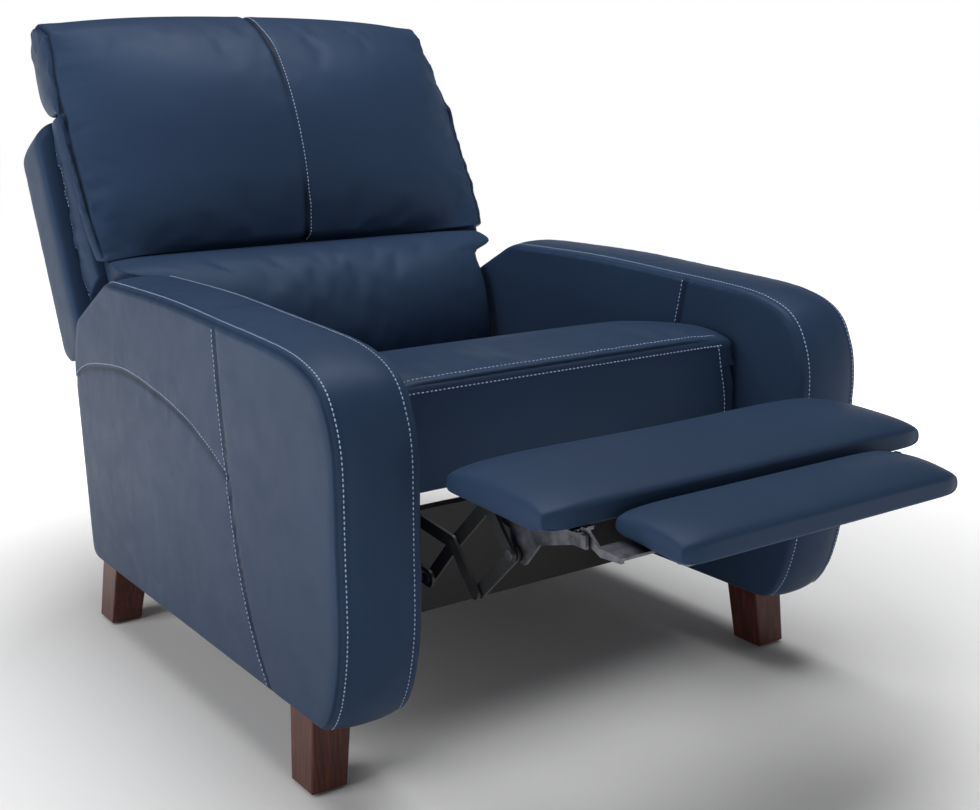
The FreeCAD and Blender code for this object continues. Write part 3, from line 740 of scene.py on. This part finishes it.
# undersides and tops of the two pads as (y, z) in millimetres, from the front edge back
FOOTREST_UNDER = [(-630, 405), (-628, 403.5), (-619, 402.5), (-606, 398.2), (-560, 399.4), (-510, 401),
                  (-465, 402.7), (-440, 403.6), (-434.5, 406)]
FOOTREST_TOP = [(-630, 424), (-624, 431), (-600, 438), (-565, 443), (-520, 445.5), (-480, 444.5),
                (-455, 441), (-441, 436), (-435, 429)]
FLAP_UNDER = [(-755, 387), (-752, 384.2), (-742, 383.2), (-715, 385), (-690, 386.4), (-668, 387.8),
              (-651, 389.4), (-640, 392), (-637, 396)]
FLAP_TOP = [(-755, 405), (-749, 411), (-735, 416), (-715, 420), (-695, 421.5), (-675, 421.5),
            (-655, 420), (-642, 417), (-637, 412)]

PILLOW = pillow()
LUMBAR = lumbar()
SEAT = seat()
SEAT_FRONT = seat_front()
FOOTREST = pad("footrest_leather", ("footrest_pad", "footrest_board"), "footrest", PAD_HI.x / MM,
               FOOTREST_TOP, FOOTREST_UNDER, (60, 24, 5))
FLAP = pad("front_flap_leather", ("front_pad", "front_board"), "front_flap", FLAP_HI.x / MM,
           FLAP_TOP, FLAP_UNDER, (48, 18, 5))


def hold(piece, still):
    """Vertex group of the seam and back vertices that stay where they are while the leather is blown up."""
    group = piece.vertex_groups.new(name="held")
    group.add([v.index for v in piece.data.vertices if still(v.co, v.normal)], 1.0, "REPLACE")


def up_back(p):
    """How far up the back and how far forward of it a point lies."""
    y = p.y - BACK_DATUM.y
    z = p.z - BACK_DATUM.z
    up = y * math.sin(BACK_LEAN) + z * math.cos(BACK_LEAN)
    forward = z * math.sin(BACK_LEAN) - y * math.cos(BACK_LEAN)
    return up, forward


hold(PILLOW, lambda p, n: up_back(p)[1] < -0.085 or abs(p.x) > PILLOW_HI.x - 0.022 or up_back(p)[0] < 0.272)
hold(LUMBAR, lambda p, n: up_back(p)[1] < -0.05 or abs(p.x) > LUMBAR_HI.x - 0.06 or up_back(p)[0] < 0.03)
hold(SEAT, lambda p, n: n.z < 0.5 or abs(p.x) > SEAT_HI.x - 0.008 or p.y < -0.270 or p.y > 0.300)
hold(FOOTREST, lambda p, n: n.z < 0.35 or abs(p.x) > PAD_HI.x - 0.012)
hold(FLAP, lambda p, n: n.z < 0.35 or abs(p.x) > FLAP_HI.x - 0.012)
inflate([PILLOW, LUMBAR, SEAT])
inflate([FOOTREST, FLAP], pressure=1.2, slack=0.0, cap=0.004)
subdivide(PILLOW, 2)
for piece in (LUMBAR, SEAT, FOOTREST, FLAP):
    subdivide(piece)
lined(FOOTREST, -609, -450, 262)
lined(FLAP, -740, -660, 192)

# ---- seams and top stitching of the cushions ----
seam_side = [pillow_place(1, -1 + 2 * i / 40, 1) for i in range(41)]
seam_top = [pillow_place(1, 1, 1 - 2 * i / 20) for i in range(21)]
middle = [pillow_place(0, -0.96 + 1.96 * i / 40, 1) for i in range(41)]
middle += [pillow_place(0, 1, 1 - 2 * i / 10) for i in range(1, 11)]
for sign in (1, -1):
    path = [Vector((sign * p.x, p.y, p.z)) for p in seam_side + seam_top[1:]]
    groove(PILLOW, evenly(path), 0.007, 0.0042, pucker=0.005, pitch=0.034, reach=0.030)
groove(PILLOW, evenly(middle), 0.004, 0.006, pucker=0.0012, pitch=0.03, reach=0.02)
stitching("pillow_stitching", [[p + Vector((0.006, 0, 0)) for p in middle]], [PILLOW], "back")
edge = [Vector(((SEAT_HI.x - 0.015) * (i - 20) / 20.3, -0.282, 0.4945)) for i in range(41)]
for piece in (SEAT, SEAT_FRONT):
    groove(piece, evenly(edge), *EDGE_SEAM, **EDGE_GATHER)
FRONT_END_SEAM = ((0.028, 0.487), (0.022, 0.45), (0.014, 0.40), (0.014, 0.36))
end = [Vector((SEAT_HI.x - side_in, -0.287, z)) for side_in, z in FRONT_END_SEAM]
groove(SEAT_FRONT, evenly(end), *EDGE_SEAM, pucker=0.0005)
rows = [[p + Vector((0, 0.010, 0.008)) for p in edge], [p + Vector((0, -0.004, -0.010)) for p in edge],
        [p - Vector((0.006, 0, 0)) for p in end]]
stitching("seat_stitching", rows, [SEAT, SEAT_FRONT], "seat")


# ---- legs: the same blocks with their edges eased ----
def eased(node, name, width):
    """Copy of a leg whose long edges are rounded over by a small width."""
    bm = bmesh.new()
    bm.from_mesh(NODES[node].data)
    bmesh.ops.remove_doubles(bm, verts=bm.verts, dist=0.00001)
    bmesh.ops.dissolve_limit(bm, angle_limit=0.02, verts=bm.verts, edges=bm.edges)
    sharp = []
    for e in bm.edges:
        if len(e.link_faces) == 2 and e.calc_face_angle() > 0.9 and e.calc_length() > 0.02:
            sharp.append(e)
    bmesh.ops.bevel(bm, geom=sharp, offset=width, segments=3, affect="EDGES", profile=0.5, material=-1)
    piece = finish_piece(name, bm, WALNUT, "base", rounded=False)
    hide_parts(node)


for end_name in ("front", "rear"):
    for side_name in ("left", "right"):
        eased("leg_" + end_name + "_" + side_name, "walnut_leg_" + end_name + "_" + side_name, 0.0025)

# ---- CAD nodes keep their shape and get their finish ----
FINISH = {
    "navy_leather": LEATHER, "dark_wood_leg": WALNUT, "frame_wood": HARDWOOD, "black_steel": BLACK_STEEL,
    "zinc_steel": ZINC, "spring_steel": SPRING, "black_plastic": PLASTIC, "black_board": LINING,
}
SLOT = {entry["node"]: entry["material_slot"] for entry in frame["record"]["subparts"]}
for node, thing in NODES.items():
    thing.data.materials.clear()
    thing.data.materials.append(FINISH[SLOT[node]])


# ---- floor, light and camera ----
LAMPS = [("side", (-3.4, 0.2, 1.9), 2.4, 66.0), ("top", (0.2, 0.1, 3.3), 2.4, 98.0),
         ("front", (1.8, -3.2, 1.5), 1.6, 2.0)]


def studio():
    """Pale floor that glows away from the chair, a light band round the horizon and three soft lamps."""
    scene = bpy.context.scene
    bm = bmesh.new()
    bmesh.ops.create_grid(bm, x_segments=1, y_segments=1, size=30.0)
    mesh = bpy.data.meshes.new("floor")
    bm.to_mesh(mesh)
    bm.free()
    floor = bpy.data.objects.new("floor", mesh)
    scene.collection.objects.link(floor)
    m = blank("pale_floor")
    place = add(m, "TexCoord").outputs["Object"]
    away = add(m, "VectorMath", operation="LENGTH")
    m.node_tree.links.new(place, away.inputs[0])
    glow = add(m, "MapRange", [("Value", away.outputs["Value"])],
               From_Min=0.7, From_Max=1.9, To_Min=0.0, To_Max=0.9)
    shader = add(m, "BsdfPrincipled", [("Emission Strength", glow.outputs[0])], Roughness=0.9)
    shader.inputs["Base Color"].default_value = linear("#eeeeee")
    shader.inputs["Emission Color"].default_value = linear("#ffffff")
    close(m, shader)
    mesh.materials.append(m)
    world = bpy.data.worlds.new("studio")
    world.use_nodes = True
    nodes = world.node_tree.nodes
    sky = nodes["Background"]
    place = nodes.new("ShaderNodeTexCoord")
    split = nodes.new("ShaderNodeSeparateXYZ")
    fade = nodes.new("ShaderNodeMapRange")
    fade.inputs["From Min"].default_value = 0.08
    fade.inputs["From Max"].default_value = 0.26
    fade.inputs["To Min"].default_value = 1.0
    fade.inputs["To Max"].default_value = 0.07
    links = world.node_tree.links
    links.new(place.outputs["Generated"], split.inputs[0])
    links.new(split.outputs["Z"], fade.inputs["Value"])
    links.new(fade.outputs["Result"], sky.inputs["Strength"])
    sky.inputs["Color"].default_value = linear("#ffffff")
    scene.world = world
    scene.view_settings.view_transform = "Standard"
    for name, place, size, power in LAMPS:
        lamp = bpy.data.lights.new(name, "AREA")
        lamp.energy = power
        lamp.size = size
        thing = bpy.data.objects.new(name, lamp)
        thing.location = place
        thing.rotation_euler = (Vector((0, 0, 0.4)) - Vector(place)).to_track_quat("-Z", "Y").to_euler()
        scene.collection.objects.link(thing)


def camera():
    """Camera in front of the chair on its right, a little above the arms, looking down at it."""
    yaw = math.radians(-36.17)
    pitch = math.radians(14.17)
    roll = math.radians(-0.88)
    look = Vector((-math.sin(yaw) * math.cos(pitch), math.cos(yaw) * math.cos(pitch), -math.sin(pitch)))
    right = look.cross(Vector((0, 0, 1))).normalized()
    up = right.cross(look)
    tilted_right = right * math.cos(roll) + up * math.sin(roll)
    tilted_up = up * math.cos(roll) - right * math.sin(roll)
    data = bpy.data.cameras.new("view")
    data.sensor_width = 36.0
    data.lens = 51.13
    data.shift_x = -0.078
    data.shift_y = 0.0347
    thing = bpy.data.objects.new("view", data)
    turn = Matrix((tilted_right, tilted_up, -look)).transposed().to_4x4()
    thing.matrix_world = Matrix.Translation((-1.0602, -1.7239, 0.8417)) @ turn
    bpy.context.scene.collection.objects.link(thing)
    bpy.context.scene.camera = thing


studio()
camera()
